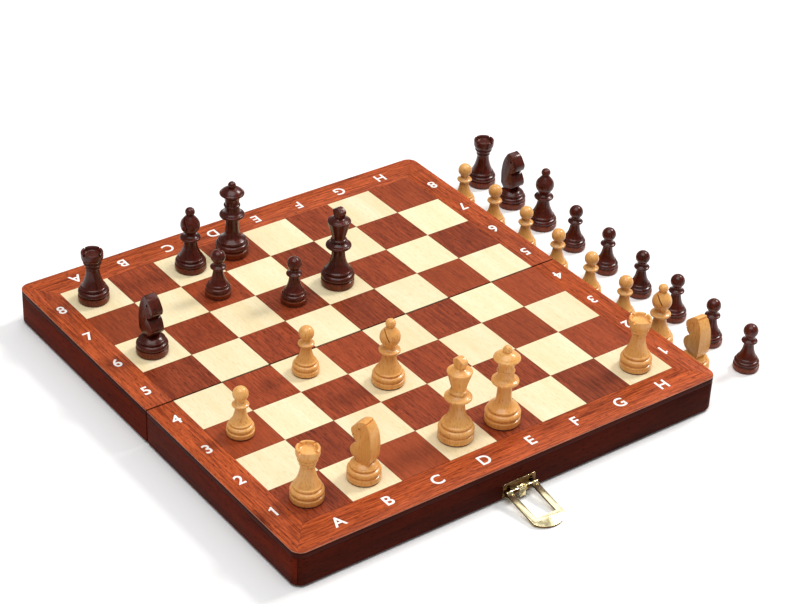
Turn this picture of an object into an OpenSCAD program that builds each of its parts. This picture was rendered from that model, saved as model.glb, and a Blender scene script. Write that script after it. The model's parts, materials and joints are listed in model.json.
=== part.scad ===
/* [Playing field] */
// Side of one square
square = 30; // [26:1:34]
// Border from the field to the left and right edges
border_side = 16; // [12:1:20]
// Border from the field to the far edges, where the clasp and its catch sit
border_end = 19; // [15:1:24]
// Gap between the two halves where they meet
seam = 1.0; // [0.6:0.1:1.6]
// Radius of the four upright outer corners
corner_r = 6; // [3:0.5:9]

/* [Case halves] */
// Depth of one half, from its rim to the playing surface
half_depth = 20.7; // [18:0.1:26]
// Width of the rails
rail_w = 12; // [9:0.5:14]
// Thickness of the playing panel
panel_t = 3; // [2:0.5:5]
// Thickness of the veneer
veneer_t = 0.6; // [0.4:0.1:1]
// How far the storage insert lies below the rim
insert_drop = 3; // [2:0.5:5]
// Depth of the recesses in the insert
recess_depth = 8; // [6:0.5:9]
// Width of the ridges between the recesses
ridge = 2.4; // [1.6:0.2:3]

/* [Hinges] */
// Radius of the knuckles
knuckle_r = 1.2; // [1:0.1:1.8]
// Radius of the hinge pins
pin_r = 0.6; // [0.4:0.1:0.8]
// Length of one hinge along the seam
hinge_len = 24; // [18:1:30]
// Thickness of a hinge leaf
leaf_t = 0.7; // [0.5:0.1:1]
// Width of a hinge leaf from the pin outwards
leaf_w = 9; // [7:0.5:11]
// Distance from the side edge to the middle of a hinge
hinge_inset = 34; // [24:1:60]

/* [Clasp] */
// Outer width of the clasp's loop
loop_w = 20; // [16:1:24]
// Length of the loop from its pivot to its round end
loop_len = 28.5; // [24:0.5:32]
// Width of the loop's legs
leg_w = 3.7; // [3:0.1:5]
// Thickness of the loop
loop_t = 1.2; // [0.8:0.1:1.6]
// Length of the window in the loop, from the pivot
window_len = 20.5; // [17:0.5:23]
// Radius of the clasp's pivot pin
pivot_r = 0.8; // [0.6:0.1:1]
// Height of the clasp's pivot above the rim
pivot_up = 4.4; // [4:0.1:6]
// How far the keeper of the catch stands out from the rail
keeper_out = 3.2; // [2.6:0.1:4]

/* [Men] */
// Height of a king
king_h = 49.4; // [48.4:0.2:54]
// Height of a queen
queen_h = 47.2; // [46.8:0.2:52]
// Height of a bishop
bishop_h = 39.6; // [39.4:0.2:44]
// Height of a knight
knight_h = 35.8; // [35.4:0.2:40]
// Height of a rook
rook_h = 31.4; // [30:0.2:36]
// Height of a pawn
pawn_h = 29; // [28.2:0.2:32]
// Distance from the board's edge to the first row of men on the table
table_gap = 16; // [13:1:30]
// Distance between the two rows of men on the table
table_row = 26; // [22:1:34]

/* [Hidden] */

$fn = 48;

// Board
half_w = 4 * square + border_side;
half_l = 4 * square + border_end;
meet = seam / 2;
hinge_z = knuckle_r;
rim_gap = 0.15;
rim_z = hinge_z + rim_gap;
top_z = rim_z + half_depth;
veneer_z = top_z - veneer_t;
panel_z = veneer_z - panel_t;
rail_h = panel_z - rim_z;

// Clasp: the loop lies on the table with its round end
pivot_z = rim_z + pivot_up;
pivot_y = -half_l - 2.6;
loop_lean = asin((pivot_z - loop_t / 2) / loop_len);
loop_reach = loop_len * cos(loop_lean) + loop_t / 2 * sin(loop_lean);

// Rows of men on the table
row_1_x = half_w + table_gap;
row_2_x = row_1_x + table_row;
queen_r = 9.4;
king_r = 9.4;
bishop_r = 9.0;
knight_r = 8.8;
rook_r = 8.7;
pawn_r = 7.4;

// The whole set is centred over the origin, standing on the ground
low_x = -half_w;
high_x = row_2_x + bishop_r;
low_y = pivot_y - loop_reach;
high_y = half_l + keeper_out;
shift = [-(low_x + high_x) / 2, -(low_y + high_y) / 2, 0];

mahogany = [0.50, 0.19, 0.10];
mahogany_side = [0.36, 0.12, 0.07];
maple = [0.94, 0.86, 0.66];
plywood = [0.80, 0.66, 0.46];
flock = [0.02, 0.45, 0.30];
brass = [0.86, 0.76, 0.48];
boxwood = [0.85, 0.62, 0.32];
rosewood = [0.22, 0.07, 0.05];

module placed() translate(shift) children();
// Mirrors what follows to the front half, towards -Y
module front() mirror([0, 1, 0]) children();

// ---- Case halves, drawn for the half towards +Y ----

// Outline of one half with its two rounded outer corners
module half_outline() {
    translate([-half_w, meet]) square([2 * half_w, half_l - meet - corner_r]);
    translate([-half_w + corner_r, meet]) square([2 * (half_w - corner_r), half_l - meet]);
    for (side = [-1, 1])
        translate([side * (half_w - corner_r), half_l - corner_r]) circle(corner_r);
}

module half_slab(z, t) translate([0, 0, z]) linear_extrude(t) half_outline();

// Rail along the far edge, mitred into the side rails
module outer_rail() intersection() {
    half_slab(rim_z, rail_h);
    translate([0, 0, rim_z]) linear_extrude(rail_h) polygon([[-half_w, half_l], [half_w, half_l],
        [half_w - rail_w, half_l - rail_w], [-half_w + rail_w, half_l - rail_w]]);
}

// Side rail from the seam to the mitre
module side_rail(side) intersection() {
    half_slab(rim_z, rail_h);
    translate([0, 0, rim_z]) linear_extrude(rail_h) polygon([[side * half_w, meet], [side * half_w, half_l],
        [side * (half_w - rail_w), half_l - rail_w], [side * (half_w - rail_w), meet]]);
}

// Rail at the seam between the side rails, with a mortise for each leaf and room for its knuckles
module hinge_rail() difference() {
    translate([-half_w + rail_w, meet, rim_z]) cube([2 * (half_w - rail_w), rail_w, rail_h]);
    for (x = hinge_xs) {
        translate([x - hinge_len / 2 - 0.1, -1, rim_z - 1]) cube([hinge_len + 0.2, leaf_w + 1.1, leaf_t + 1]);
        translate([x - hinge_len / 2 - 0.4, 0, hinge_z]) rotate([0, 90, 0])
            cylinder(r = knuckle_r + 0.3, h = hinge_len + 0.8);
        for (p = screw_places) translate([x + p[0], p[1], rim_z - 1])
            cylinder(r = screw_hole_r, h = 1 + screw_l + 0.9);
    }
}

module panel() half_slab(panel_z, panel_t);

// Veneer round the squares
module border() difference() {
    half_slab(veneer_z, veneer_t);
    translate([-4 * square, -1, veneer_z - 1]) cube([8 * square, 4 * square + 1, veneer_t + 2]);
}

// Squares of one shade on one half; the first rank starts at the seam
module squares(parity) for (file = [0:7]) for (rank = [0:3]) if ((file + rank) % 2 == parity)
    translate([(file - 4) * square, max(rank * square, meet), veneer_z])
        cube([square, rank == 0 ? square - meet : square, veneer_t]);

// ---- Storage insert in the rear half, which opens downwards ----

glue = 0.05;
insert_x = half_w - rail_w - 0.3;
insert_y0 = meet + rail_w + 0.3;
insert_y1 = half_l - rail_w - 0.3;
insert_low = rim_z + insert_drop;
insert_floor = insert_low + recess_depth;
room_king = 20.4;
room_officer = 19;
room_pawn = 15.8;
// Widths of the recesses, from the left side to the right
front_rooms = [room_officer, room_officer, room_officer, room_officer, room_king,
    room_king, room_officer, room_officer, room_officer, room_officer];
middle_rooms = [room_pawn, room_pawn, room_pawn, room_officer, room_officer, room_king,
    room_king, room_officer, room_officer, room_pawn, room_pawn, room_pawn];
back_rooms = [5 * room_pawn, 5 * room_pawn];
// Far end and length of each row of recesses, measured back from the outer rail
front_row_y = insert_y1 - ridge;
front_row_l = 42;
middle_row_y = front_row_y - front_row_l - ridge;
middle_row_l = 34;
back_row_y = middle_row_y - middle_row_l - ridge;
back_row_l = back_row_y - insert_y0 - ridge;

function total(list, n) = n == 0 ? 0 : list[n - 1] + total(list, n - 1);
function row_width(rooms) = total(rooms, len(rooms)) + ridge * (len(rooms) - 1);
function room_x(rooms, gap, n) = -(total(rooms, len(rooms)) + gap * (len(rooms) - 1)) / 2
    + total(rooms, n) + n * gap;

// A strip glued to the backing, with a hair of glue all round
module strip(x0, x1, y0, y1) translate([x0 + glue, y0 + glue, insert_low])
    cube([x1 - x0 - 2 * glue, y1 - y0 - 2 * glue, recess_depth - glue]);

// End blocks and dividers of one row; gap is the width of the ridges between its recesses
module row_of_recesses(rooms, gap, y_far, length) {
    last = len(rooms) - 1;
    strip(-insert_x, room_x(rooms, gap, 0), y_far - length, y_far);
    for (n = [1:last])
        strip(room_x(rooms, gap, n) - gap, room_x(rooms, gap, n), y_far - length, y_far);
    strip(room_x(rooms, gap, last) + rooms[last], insert_x, y_far - length, y_far);
}

module insert() {
    translate([-insert_x, insert_y0, insert_floor])
        cube([2 * insert_x, insert_y1 - insert_y0, panel_z - insert_floor]);
    strip(-insert_x, insert_x, front_row_y, insert_y1);
    strip(-insert_x, insert_x, middle_row_y, middle_row_y + ridge);
    strip(-insert_x, insert_x, back_row_y, back_row_y + ridge);
    strip(-insert_x, insert_x, insert_y0, insert_y0 + ridge);
    row_of_recesses(front_rooms, ridge, front_row_y, front_row_l);
    row_of_recesses(middle_rooms, ridge, middle_row_y, middle_row_l);
    row_of_recesses(back_rooms, room_king * 2, back_row_y, back_row_l);
}

// ---- Hinges ----

hinge_xs = [-half_w + hinge_inset, half_w - hinge_inset];
knuckle_l = hinge_len / 3;
knuckle_play = 0.1;
screw_r = 1.1;
screw_hole_r = 0.75;
screw_head_t = 0.5;
screw_l = 5;
screw_places = [[-8.4, 5.2], [0, 6.6], [8.4, 5.2]];

// Leaf with the knuckles of the given thirds of its length
module leaf(x, thirds) difference() {
    union() {
        translate([x - hinge_len / 2, knuckle_r + 0.3, rim_z])
            cube([hinge_len, leaf_w - knuckle_r - 0.3, leaf_t]);
        for (n = thirds) translate([x - hinge_len / 2 + n * knuckle_l + knuckle_play, 0, 0]) {
            translate([0, 0, hinge_z]) rotate([0, 90, 0])
                cylinder(r = knuckle_r, h = knuckle_l - 2 * knuckle_play);
            translate([0, 0, rim_z]) cube([knuckle_l - 2 * knuckle_play, leaf_w / 2, leaf_t]);
        }
    }
    translate([x - hinge_len, 0, hinge_z]) rotate([0, 90, 0])
        cylinder(r = pin_r + 0.05, h = 2 * hinge_len);
    for (p = screw_places) translate([x + p[0], p[1], rim_z - 1]) cylinder(r = screw_hole_r, h = leaf_t + 2);
    for (p = screw_places) translate([x + p[0], p[1], rim_z - 1]) cylinder(r = screw_r, h = 1 + screw_head_t);
}

// Screw with a slotted head flush in its leaf or plate, pointing up
module screw(head_r, hole_r, head_t, length) difference() {
    union() {
        cylinder(r = head_r, h = head_t);
        cylinder(r = hole_r, h = length);
    }
    translate([-head_r, -0.15, -0.1]) cube([2 * head_r, 0.3, 0.3]);
}

module hinge_screws() for (x = hinge_xs) for (p = screw_places)
    translate([x + p[0], p[1], rim_z]) screw(screw_r, screw_hole_r, screw_head_t, screw_l);

module pins() for (x = hinge_xs) translate([x - hinge_len / 2, 0, hinge_z]) rotate([0, 90, 0])
    cylinder(r = pin_r, h = hinge_len);

// ---- Clasp on the front half, drawn in place ----

clasp_plate_w = 21;
clasp_plate_t = 0.8;
clasp_plate_top = rim_z + 9.6;
lug_w = 3.6;
lug_r = 1.7;
loop_hub_r = 1.6;
tongue_w = 4.8;
loop_half = loop_w / 2;
window_half = loop_half - leg_w;
plate_screw_x = 7.2;
plate_screw_z = rim_z + 7;
// Holes for the round screws of the clasp and its catch, and how deep they go
fixing_r = 0.9;
fixing_head_r = 1.4;
fixing_depth = 6;

module clasp_plate_body() difference() {
    union() {
        translate([-clasp_plate_w / 2, -half_l - clasp_plate_t, rim_z + 1.2])
            cube([clasp_plate_w, clasp_plate_t, clasp_plate_top - rim_z - 1.2]);
        // Lugs inside the loop's legs that carry the pin
        for (side = [-1, 1]) translate([side * (window_half - 0.3 - lug_w / 2), 0, 0]) {
            translate([-lug_w / 2, pivot_y, pivot_z]) rotate([0, 90, 0]) cylinder(r = lug_r, h = lug_w);
            translate([-lug_w / 2, pivot_y, pivot_z - lug_r])
                cube([lug_w, -half_l - pivot_y, 2 * lug_r]);
        }
        clasp_tongue();
    }
    translate([-loop_w, pivot_y, pivot_z]) rotate([0, 90, 0]) cylinder(r = pivot_r, h = 2 * loop_w);
    for (side = [-1, 1]) translate([side * plate_screw_x, -half_l + 1, plate_screw_z]) rotate([90, 0, 0])
        cylinder(r = fixing_r, h = 3);
    for (side = [-1, 1]) translate([side * plate_screw_x, -half_l - clasp_plate_t + 0.4, plate_screw_z])
        rotate([90, 0, 0]) cylinder(r = fixing_head_r, h = 3);
}

// Spring tongue that leans out of the plate through the loop's window
module clasp_tongue() translate([-tongue_w / 2, -half_l - clasp_plate_t, pivot_z + 0.6]) rotate([52, 0, 0])
    translate([0, -5.6, -0.5]) cube([tongue_w, 6.2, 0.5]);

// Its round end is a circle through the tip and the two corners where its sides end
end_rise = loop_half * 0.55;
end_r = (loop_half * loop_half + end_rise * end_rise) / (2 * end_rise);

// Loop drawn lying level, from its pivot towards -Y, then leant down to the table
module loop() translate([0, pivot_y, pivot_z]) rotate([loop_lean, 0, 0]) difference() {
    union() {
        translate([-loop_half, -loop_len + end_rise, -loop_t / 2])
            cube([loop_w, loop_len - end_rise, loop_t]);
        // Round end: a segment of a wide circle as broad as the loop
        intersection() {
            translate([0, -loop_len + end_r, -loop_t / 2]) cylinder(r = end_r, h = loop_t, $fn = 96);
            translate([-loop_half, -loop_len - 1, -loop_t / 2]) cube([loop_w, loop_len, loop_t]);
        }
        rotate([0, 90, 0]) translate([0, 0, -loop_half]) cylinder(r = loop_hub_r, h = loop_w);
    }
    translate([-window_half, -window_len, -3]) cube([2 * window_half, window_len + 3, 6]);
    translate([-loop_w, 0, 0]) rotate([0, 90, 0]) cylinder(r = pivot_r + 0.05, h = 2 * loop_w);
}

// Round screw, a hair thinner than its hole
module fixing() screw(fixing_head_r - 0.05, fixing_r - 0.05, 0.4, 5.4);

module plate_screws() for (side = [-1, 1])
    translate([side * plate_screw_x, -half_l - clasp_plate_t, plate_screw_z]) rotate([-90, 0, 0]) fixing();

// ---- Catch on the rear half, drawn for the half towards +Y ----

catch_w = 20;
catch_h = 12;
catch_t = 0.8;
catch_screw_x = 7.6;
catch_screw_z = rim_z + 9;
tab_t = 0.8;
tab_w = 10.6;
tab_low = rim_z + 4.6;
tab_h = 9.6;

// Plate with a box-shaped keeper that the loop's window passes over
module catch_body() difference() {
    union() {
        translate([-catch_w / 2, half_l, rim_z + 3]) cube([catch_w, catch_t, catch_h]);
        translate([-tab_w / 2, half_l, tab_low]) cube([tab_w, keeper_out, tab_h]);
    }
    translate([-tab_w / 2 + tab_t, half_l - 1, tab_low - 1])
        cube([tab_w - 2 * tab_t, keeper_out + 1 - tab_t, tab_h + 1 - tab_t]);
    for (side = [-1, 1]) translate([side * catch_screw_x, half_l - 1, catch_screw_z]) rotate([-90, 0, 0])
        cylinder(r = fixing_r, h = 3);
    for (side = [-1, 1]) translate([side * catch_screw_x, half_l + catch_t - 0.4, catch_screw_z])
        rotate([-90, 0, 0]) cylinder(r = fixing_head_r, h = 3);
}

module catch_fixings() for (side = [-1, 1])
    translate([side * catch_screw_x, half_l + catch_t, catch_screw_z]) rotate([90, 0, 0]) fixing();

// ---- Men ----

// Points of an arc, from angle a to angle b, for an outline of [radius, height]
function arc(r, z, size, a, b, n = 5) = [for (i = [0:n]) let (t = a + (b - a) * i / n)
    [r + size * cos(t), z + size * sin(t)]];
// Foot that all men share: a disc, a groove, a fat ring and a thin ring; s stretches it upwards
function foot(r, s) = concat([[0, 0], [r - 0.5, 0]], arc(r - 0.5, 0.5, 0.5, -60, 0, 2),
    [[r, 3.5 * s], [r - 0.3, 3.8 * s], [r - 0.8, 4.0 * s]], arc(r - 1.7, 5.8 * s, 1.6 * s, -50, 60),
    [[r - 1.7, 7.6 * s]], arc(r - 2.2, 8.5 * s, 0.8 * s, -50, 70, 3));

// King's finial: the way it faces, the height it starts at and its thickness
finial_turn = 7;
finial_z = 43.4;
finial_t = 4.4;

// Turned bodies: [radius, height] pairs from the foot up
function king_line() = concat(foot(king_r, 1.1), [[7.0, 10.8], [6.2, 12.0], [5.2, 13.8], [4.5, 15.8],
    [4.0, 18.3], [3.8, 21.0], [4.0, 23.2], [5.0, 23.9]], arc(6.4, 25.5, 0.9, -60, 75, 4),
    [[4.7, 27.2], [4.0, 28.0], [4.6, 28.8], [4.5, 29.6], [3.8, 30.2], [4.1, 32.0], [4.9, 35.0],
    [5.8, 38.0], [6.4, 40.0]], arc(6.0, 41.0, 0.65, -40, 80, 3),
    [[4.6, 42.3], [3.0, 42.9], [2.6, finial_z], [0, finial_z]]);
function queen_line(h) = concat(foot(queen_r, 1.1), [[7.0, 10.6], [5.6, 11.8], [4.6, 13.4], [4.1, 15.4],
    [3.9, 18.5], [3.85, 22.0], [4.0, 24.0], [4.9, 24.6]], arc(6.35, 25.9, 0.95, -60, 75, 4),
    [[4.9, 27.8], [4.4, 28.8], [4.3, 30.4], [4.2, 31.4]], arc(4.2, 32.2, 0.6, -60, 60, 3),
    [[4.1, 33.2], [4.2, 35.6], [4.6, 37.2], [5.6, 38.4], [6.3, 39.1]], arc(6.4, 39.9, 0.75, -50, 70, 4),
    [[5.4, 41.9], [3.6, 43.1], [2.5, 43.5]], arc(0, h - 2.4, 2.4, -35, 90, 6));
function bishop_line(h) = concat(foot(bishop_r, 0.9), [[6.6, 8.9], [5.8, 10.4], [4.9, 12.4], [4.2, 14.3],
    [3.7, 16.8], [3.6, 18.6], [4.2, 19.3], [4.9, 19.7]], arc(5.15, 20.5, 0.75, -50, 70, 3),
    [[3.9, 21.9], [3.2, 22.8], [3.4, 23.7]], arc(0, 28.7, 5.6, -50, 45, 8),
    [[3.0, 33.8], [2.3, 34.6], [2.1, 35.1]], arc(0.3, h - 2.5, 2.5, -50, 90, 6), [[0, h]]);
function rook_line(h) = concat(foot(rook_r, 1.03), [[6.4, 10.0], [5.7, 11.7], [4.9, 13.8], [4.2, 16.4],
    [3.8, 18.8], [3.7, 20.6], [4.1, 21.2], [4.2, 22.0], [4.0, 22.5], [4.6, 23.4], [5.1, 24.2],
    [5.2, 25.0], [5.0, 25.4], [5.5, 26.2], [6.0, 27.2], [6.2, 28.4], [6.15, h - 0.3], [5.9, h],
    [4.9, h], [4.6, h - 0.6], [4.3, h - 2.0], [1.2, h - 2.2], [0, h - 1.9]]);
function pawn_line(h) = concat(foot(pawn_r, 0.86), [[5.0, 8.6], [4.2, 10.2], [3.5, 12.2], [3.0, 14.6],
    [2.75, 16.6], [2.9, 17.4], [3.5, 17.7]], arc(3.9, 18.4, 0.62, -50, 70, 3),
    [[2.9, 19.9], [2.5, 20.7]], arc(0, h - 4.15, 4.15, -52, 90, 8));
knight_line = concat(foot(knight_r, 1), [[6.2, 10.0], [5.2, 10.8], [4.6, 11.0], [0, 11.0]]);

module turned(line) rotate_extrude() polygon(line);

// Turned body with a block on top that widens upwards and ends in a low ridge
module king_man(h) {
    top = h - finial_z;
    turned(king_line());
    translate([0, 0, finial_z]) rotate([90, 0, finial_turn]) translate([0, 0, -finial_t / 2])
        linear_extrude(finial_t) polygon([[-2.4, -0.6], [2.4, -0.6], [2.5, 0.6], [3.5, 3.2], [3.4, 4.6],
            [1.0, top], [-1.0, top], [-3.4, 4.6], [-3.5, 3.2], [-2.5, 0.6]]);
}

module queen_man(h) turned(queen_line(h));

slot_z = 28.4;
slot_turn = 142;
slot_lean = 30;
slot_w = 0.6;

// Mitre with a leaning slot sawn into one side of it
module bishop_man(h) difference() {
    turned(bishop_line(h));
    translate([0, 0, slot_z]) rotate([0, 0, slot_turn]) rotate([slot_lean, 0, 0])
        translate([0.5, -slot_w / 2, 0]) cube([bishop_r, slot_w, bishop_r]);
}

notch_turn = 14;
notch_w = 1.3;
notch_depth = 1.2;

// Bowl-shaped top with four notches in its rim
module rook_man(h) difference() {
    turned(rook_line(h));
    for (a = [notch_turn, notch_turn + 90]) rotate([0, 0, a])
        translate([-rook_r, -notch_w / 2, h - notch_depth]) cube([2 * rook_r, notch_w, 2 * notch_depth]);
}

module pawn_man(h) turned(pawn_line(h));

// Half the thickness of the horse's head, up to its throat and then at its ears
neck_t = 4.3;
ear_t = 3.3;
throat_z = 22;
// Side view of the horse's head, [forward, height]
function head_side(h) = [[-5.7, 10.6], [-6.4, 21.5], [-5.9, 28.0], [-4.5, 31.9], [-2.8, 34.9], [-2.4, 34.2],
    [-1.6, h], [0.2, h - 0.2], [3.0, 34.0], [6.0, 30.8], [6.4, 28.5], [5.6, 26.0], [4.0, 24.6],
    [1.8, 23.8], [3.8, 22.3], [5.6, 20.0], [6.3, 17.8], [6.0, 16.0], [5.0, 14.6], [2.8, 13.2], [2.6, 10.6]];

// Flat-sided head on a turned foot, looking towards +X; its cheeks taper to the ears
module knight_man(h) {
    turned(knight_line);
    intersection() {
        rotate([90, 0, 0]) translate([0, 0, -neck_t]) linear_extrude(2 * neck_t) polygon(head_side(h));
        rotate([90, 0, 90]) translate([0, 0, -knight_r]) linear_extrude(2 * knight_r) polygon([[-neck_t, 0],
            [neck_t, 0], [neck_t, throat_z], [ear_t, h], [-ear_t, h], [-neck_t, throat_z]]);
    }
}

module man(kind) {
    if (kind == "king") king_man(king_h);
    if (kind == "queen") queen_man(queen_h);
    if (kind == "bishop") bishop_man(bishop_h);
    if (kind == "knight") knight_man(knight_h);
    if (kind == "rook") rook_man(rook_h);
    if (kind == "pawn") pawn_man(pawn_h);
}

// Middle of a square, with a small shift as a hand leaves it
function on_square(file, rank, dx = 0, dy = 0) =
    [(file - 4.5) * square + dx, (rank - 4.5) * square + dy, top_z];
// Place in a row on the table, counted from the middle of the board
function on_table(x, n) = [x, n * square, 0];
ahead = 90;
back = -90;

// [name, kind, place, direction it looks]
LIGHT_SET = [
    ["light_king", "king", on_square(4, 1, -0.7, -0.4), ahead],
    ["light_queen", "queen", on_square(5, 1, -2.1, -2.6), ahead],
    ["light_rook_1", "rook", on_square(1, 1, -2.5, -0.4), ahead],
    ["light_rook_2", "rook", on_square(8, 1, -1, -3), ahead],
    ["light_bishop_1", "bishop", on_square(4, 3, -1, -2), ahead],
    ["light_bishop_2", "bishop", on_table(row_1_x, -2.5), ahead],
    ["light_knight_1", "knight", on_square(2, 1, 0.5, -2.1), ahead + 19],
    ["light_knight_2", "knight", on_table(row_1_x, -3.5), ahead],
    ["light_pawn_1", "pawn", on_square(1, 3, -1, 2), ahead],
    ["light_pawn_2", "pawn", on_square(3, 4, -2.6, -0.9), ahead],
    ["light_pawn_3", "pawn", on_table(row_1_x, -1.5), ahead],
    ["light_pawn_4", "pawn", on_table(row_1_x, -0.5), ahead],
    ["light_pawn_5", "pawn", on_table(row_1_x, 0.5), ahead],
    ["light_pawn_6", "pawn", on_table(row_1_x, 1.5), ahead],
    ["light_pawn_7", "pawn", on_table(row_1_x, 2.5), ahead],
    ["light_pawn_8", "pawn", on_table(row_1_x, 3.5), ahead]];
DARK_SET = [
    ["dark_king", "king", on_square(5, 6, 1, 1), back],
    ["dark_queen", "queen", on_square(4, 8, -1.7, -0.1), back],
    ["dark_rook_1", "rook", on_square(1, 8, -2), back],
    ["dark_rook_2", "rook", on_table(row_2_x, 4), back],
    ["dark_bishop_1", "bishop", on_square(3, 8, 0, -1), ahead - 10],
    ["dark_bishop_2", "bishop", on_table(row_2_x, 2), back],
    ["dark_knight_1", "knight", on_square(1, 6, -1, -1), back],
    ["dark_knight_2", "knight", on_table(row_2_x, 3), back],
    ["dark_pawn_1", "pawn", on_square(3, 7, -1.5, -2.6), back],
    ["dark_pawn_2", "pawn", on_square(4, 6, 0, -1), back],
    ["dark_pawn_3", "pawn", on_table(row_2_x, 1), back],
    ["dark_pawn_4", "pawn", on_table(row_2_x, 0), back],
    ["dark_pawn_5", "pawn", on_table(row_2_x, -1), back],
    ["dark_pawn_6", "pawn", on_table(row_2_x, -2), back],
    ["dark_pawn_7", "pawn", on_table(row_2_x, -3), back],
    ["dark_pawn_8", "pawn", on_table(row_2_x, -4), back]];

module stand(entry) placed() translate(entry[2]) rotate([0, 0, entry[3]]) man(entry[1]);

// ---- Sub-parts, one module each ----

module front_outer_rail() color(mahogany_side) placed() front() difference() {
    outer_rail();
    for (side = [-1, 1]) translate([side * plate_screw_x, half_l + 1, plate_screw_z]) rotate([90, 0, 0])
        cylinder(r = fixing_r, h = fixing_depth);
}
module front_left_rail() color(mahogany_side) placed() front() side_rail(-1);
module front_right_rail() color(mahogany_side) placed() front() side_rail(1);
module front_hinge_rail() color(mahogany_side) placed() front() hinge_rail();
module rear_outer_rail() color(mahogany_side) placed() difference() {
    outer_rail();
    for (side = [-1, 1]) translate([side * catch_screw_x, half_l + 1, catch_screw_z]) rotate([90, 0, 0])
        cylinder(r = fixing_r, h = fixing_depth);
}
module rear_left_rail() color(mahogany_side) placed() side_rail(-1);
module rear_right_rail() color(mahogany_side) placed() side_rail(1);
module rear_hinge_rail() color(mahogany_side) placed() hinge_rail();
module front_panel() color(plywood) placed() front() panel();
module rear_panel() color(plywood) placed() panel();
module front_border() color(mahogany) placed() front() border();
module rear_border() color(mahogany) placed() border();
module front_dark_squares() color(mahogany) placed() front() squares(1);
module front_light_squares() color(maple) placed() front() squares(0);
module rear_dark_squares() color(mahogany) placed() squares(0);
module rear_light_squares() color(maple) placed() squares(1);
module storage_insert() color(flock) placed() insert();
module front_hinge_leaves() color(brass) placed() front() for (x = hinge_xs) leaf(x, [0, 2]);
module rear_hinge_leaves() color(brass) placed() for (x = hinge_xs) leaf(x, [1]);
module hinge_pins() color(brass) placed() pins();
module front_hinge_screws() color(brass) placed() front() hinge_screws();
module rear_hinge_screws() color(brass) placed() hinge_screws();
module clasp_plate() color(brass) placed() clasp_plate_body();
module clasp_pin() color(brass) placed() translate([-loop_half, pivot_y, pivot_z]) rotate([0, 90, 0])
    cylinder(r = pivot_r, h = loop_w);
module clasp_loop() color(brass) placed() loop();
module clasp_screws() color(brass) placed() plate_screws();
module catch_plate() color(brass) placed() catch_body();
module catch_screws() color(brass) placed() catch_fixings();

front_outer_rail();
front_left_rail();
front_right_rail();
front_hinge_rail();
rear_outer_rail();
rear_left_rail();
rear_right_rail();
rear_hinge_rail();
front_panel();
rear_panel();
front_border();
rear_border();
front_dark_squares();
front_light_squares();
rear_dark_squares();
rear_light_squares();
storage_insert();
front_hinge_leaves();
rear_hinge_leaves();
hinge_pins();
front_hinge_screws();
rear_hinge_screws();
clasp_plate();
clasp_pin();
clasp_loop();
clasp_screws();
catch_plate();
catch_screws();
for (entry = LIGHT_SET) color(boxwood) stand(entry);
for (entry = DARK_SET) color(rosewood) stand(entry);
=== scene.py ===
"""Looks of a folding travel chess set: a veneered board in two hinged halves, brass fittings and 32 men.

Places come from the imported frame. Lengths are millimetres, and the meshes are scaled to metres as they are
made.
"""

import json
import math

import bmesh
import bpy
from mathutils import Matrix, Vector


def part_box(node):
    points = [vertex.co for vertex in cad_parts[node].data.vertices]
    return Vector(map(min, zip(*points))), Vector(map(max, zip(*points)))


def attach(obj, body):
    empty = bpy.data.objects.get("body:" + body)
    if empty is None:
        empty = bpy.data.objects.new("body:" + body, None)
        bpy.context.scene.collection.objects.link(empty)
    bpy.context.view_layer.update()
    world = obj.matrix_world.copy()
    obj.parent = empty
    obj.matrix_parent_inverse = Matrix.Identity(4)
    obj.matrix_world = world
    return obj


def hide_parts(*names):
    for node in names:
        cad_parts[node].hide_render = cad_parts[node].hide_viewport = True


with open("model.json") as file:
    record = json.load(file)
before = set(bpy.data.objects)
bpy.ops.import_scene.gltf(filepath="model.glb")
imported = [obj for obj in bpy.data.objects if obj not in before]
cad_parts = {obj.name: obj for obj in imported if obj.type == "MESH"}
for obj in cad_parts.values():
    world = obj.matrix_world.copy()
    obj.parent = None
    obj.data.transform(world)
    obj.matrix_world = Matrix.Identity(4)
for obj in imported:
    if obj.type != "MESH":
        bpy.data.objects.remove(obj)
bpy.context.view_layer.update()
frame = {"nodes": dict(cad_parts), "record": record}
nodes = frame["nodes"]
MM = 0.001


def corners(node):
    """Lowest and highest corner of a CAD node, in millimetres."""
    low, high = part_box(node)
    return low / MM, high / MM


# ---- Places on the board ----

squares_low = corners("front_dark_squares")[0]
squares_high = corners("rear_light_squares")[1]
front_low, front_high = corners("front_panel")
rear_low, rear_high = corners("rear_panel")
SQUARE = (squares_high.x - squares_low.x) / 8
MID_X = (squares_low.x + squares_high.x) / 2
MID_Y = (front_high.y + rear_low.y) / 2
MEET = (rear_low.y - front_high.y) / 2
HALF_W = front_high.x - MID_X
HALF_L = rear_high.y - MID_Y
TOP_Z = corners("front_border")[1].z
VENEER_Z = corners("front_border")[0].z
PANEL_Z = front_low.z
RIM_Z = corners("front_left_rail")[0].z
RAIL_W = corners("front_left_rail")[1].x - (MID_X - HALF_W)
FIELD = 4 * SQUARE
CORNER_R = 6.0


# ---- Meshes ----


def mesh_object(name, points, faces, materials, face_materials=None, sharp=40):
    """Object with a mesh of points in millimetres; edges bent by more than sharp degrees stay crisp."""
    mesh = bpy.data.meshes.new(name)
    mesh.from_pydata([Vector(p) * MM for p in points], [], faces)
    for material in materials:
        mesh.materials.append(material)
    if face_materials:
        mesh.polygons.foreach_set("material_index", face_materials)
    mesh.update()
    piece = bpy.data.objects.new(name, mesh)
    bpy.context.scene.collection.objects.link(piece)
    shade(piece, sharp)
    return piece


def shade(piece, sharp=40):
    """Smooth shading, with crisp edges where the faces meet at more than sharp degrees."""
    piece.data.polygons.foreach_set("use_smooth", [True] * len(piece.data.polygons))
    piece.data.set_sharp_from_angle(angle=math.radians(sharp))


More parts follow.
